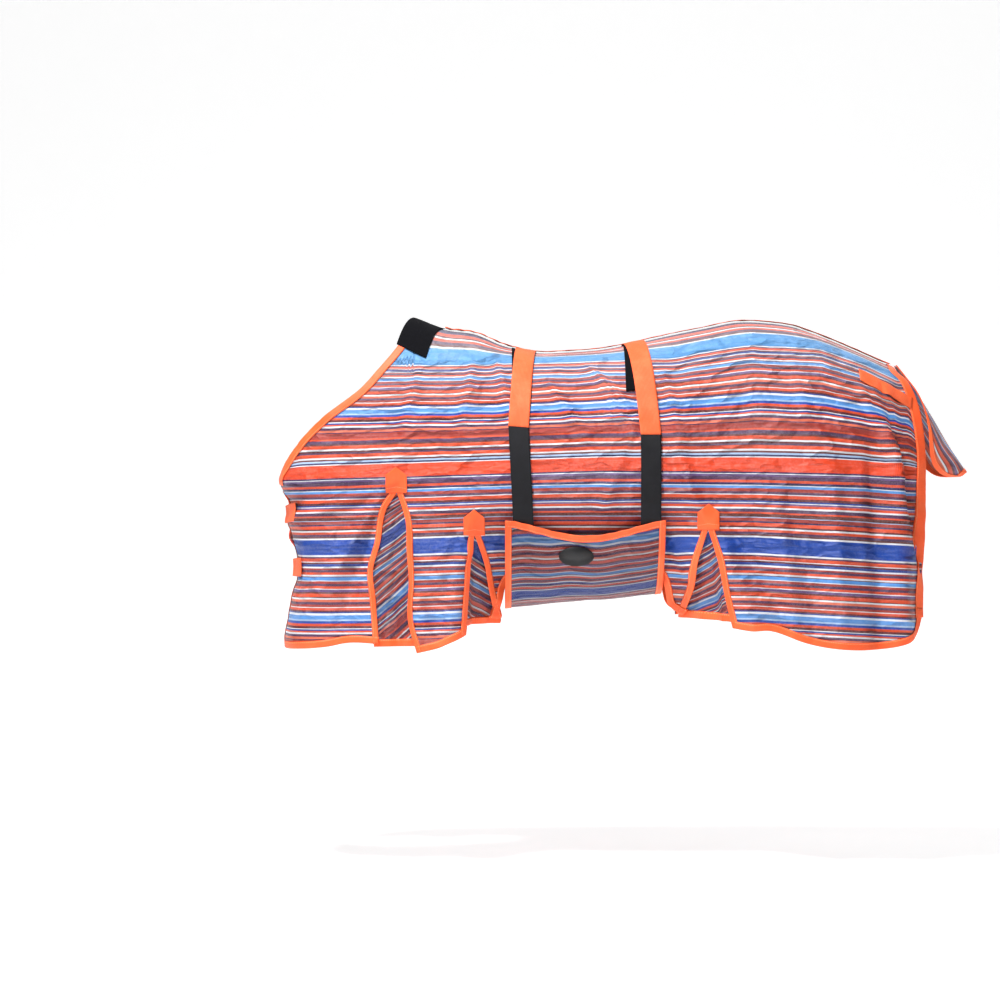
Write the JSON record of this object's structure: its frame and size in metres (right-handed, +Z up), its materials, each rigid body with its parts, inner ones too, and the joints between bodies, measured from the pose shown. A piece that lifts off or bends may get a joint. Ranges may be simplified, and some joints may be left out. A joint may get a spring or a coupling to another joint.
{
  "type": "horse fly sheet",
  "caption": "Striped mesh fly sheet for a horse, as worn, with bound edges, leg gussets, a belly wrap on two surcingles, hook-and-loop chest closures and a tail flap.",
  "frame": {"origin": "top of the withers on the spine, where the sheet rests on the horse's back", "axes": "-X towards the head, +X towards the tail, -Y the near (left) side, +Z up"},
  "size_m": [2.0172, 0.5982, 0.9767],
  "materials": {
    "mesh": "see-through woven mesh, serape stripes along the sheet",
    "binding": "orange ribbed binding tape, folded over the edge and stitched",
    "webbing": "orange woven webbing",
    "elastic": "black knitted elastic",
    "hook_loop": "black hook-and-loop tape",
    "badge": "black oval patch with a stitched rim, blank"
  },
  "bodies": {
    "sheet": {"front_surcingle_loop_patch": "hook_loop", "lower_chest_loop_patch": "hook_loop", "near_front_gusset": "mesh", "near_front_gusset_patch": "binding", "near_front_slit_binding": "binding", "near_hem_binding": "binding", "near_middle_gusset": "mesh", "near_middle_gusset_patch": "binding", "near_middle_slit_binding": "binding", "near_neck_binding": "binding", "near_rear_binding": "binding", "near_rear_gusset": "mesh", "near_rear_gusset_patch": "binding", "near_rear_slit_binding": "binding", "near_rump_patch": "binding", "near_side_panel": "mesh", "off_chest_front_binding": "binding", "off_front_gusset": "mesh", "off_front_gusset_patch": "binding", "off_front_slit_binding": "binding", "off_hem_binding": "binding", "off_middle_gusset": "mesh", "off_middle_gusset_patch": "binding", "off_middle_slit_binding": "binding", "off_neck_binding": "binding", "off_rear_binding": "binding", "off_rear_gusset": "mesh", "off_rear_gusset_patch": "binding", "off_rear_slit_binding": "binding", "off_rump_patch": "binding", "off_side_panel": "mesh", "rear_surcingle_loop_patch": "hook_loop", "spine_binding": "binding", "upper_chest_loop_patch": "hook_loop", "withers_patch": "hook_loop", "wrap_off_binding": "binding", "wrap_off_panel": "mesh"},
    "near_chest": {"near_chest_front_binding": "binding", "near_chest_hem_binding": "binding", "near_chest_neck_binding": "binding", "near_chest_panel": "mesh", "upper_chest_tab": "webbing", "lower_chest_tab": "webbing"},
    "upper_chest_strap": {"upper_chest_strap": "webbing", "upper_chest_hook_tape": "hook_loop"},
    "lower_chest_strap": {"lower_chest_strap": "webbing", "lower_chest_hook_tape": "hook_loop"},
    "belly_wrap": {"belly_wrap_panel": "mesh", "wrap_top_binding": "binding", "wrap_front_binding": "binding", "wrap_rear_binding": "binding", "wrap_badge": "badge"},
    "front_belly_strap": {"front_surcingle_webbing": "webbing", "front_surcingle_elastic": "elastic", "front_surcingle_hook_tape": "hook_loop"},
    "rear_belly_strap": {"rear_surcingle_webbing": "webbing", "rear_surcingle_elastic": "elastic", "rear_surcingle_hook_tape": "hook_loop"},
    "tail_flap": {"tail_flap_panel": "mesh", "tail_flap_binding": "binding"}
  },
  "joints": [
    {"name": "near_chest_open", "type": "hinge", "parent": "sheet", "child": "near_chest", "pos_m": [-0.25, -0.24272, -0.55], "axis": [0, 0, 1], "range_deg": [0, 75]},
    {"name": "upper_strap_peel", "type": "hinge", "parent": "near_chest", "child": "upper_chest_strap", "pos_m": [-0.45156, 0, -0.538], "axis": [0, 0, 1], "range_deg": [0, 100]},
    {"name": "lower_strap_peel", "type": "hinge", "parent": "near_chest", "child": "lower_chest_strap", "pos_m": [-0.43136, 0, -0.696], "axis": [0, 0, 1], "range_deg": [0, 100]},
    {"name": "wrap_drop", "type": "hinge", "parent": "sheet", "child": "belly_wrap", "pos_m": [0.414, 0.19814, -0.70307], "axis": [0.9974, 0.0077, 0.0717], "range_deg": [0, 45]},
    {"name": "front_strap_peel", "type": "hinge", "parent": "belly_wrap", "child": "front_belly_strap", "pos_m": [0.239, -0.26656, -0.5552], "axis": [1, 0, 0], "range_deg": [0, 76.5]},
    {"name": "rear_strap_peel", "type": "hinge", "parent": "belly_wrap", "child": "rear_belly_strap", "pos_m": [0.6, -0.26794, -0.5552], "axis": [1, 0, 0], "range_deg": [0, 76.5]},
    {"name": "tail_flap_lift", "type": "hinge", "parent": "sheet", "child": "tail_flap", "pos_m": [1.331, 0, -0.103], "axis": [0, -1, 0], "range_deg": [0, 110]}
  ],
  "couplings": [
    {"joint": "front_strap_peel", "follows": "wrap_drop", "ratio": 1.7},
    {"joint": "rear_strap_peel", "follows": "wrap_drop", "ratio": 1.7}
  ]
}
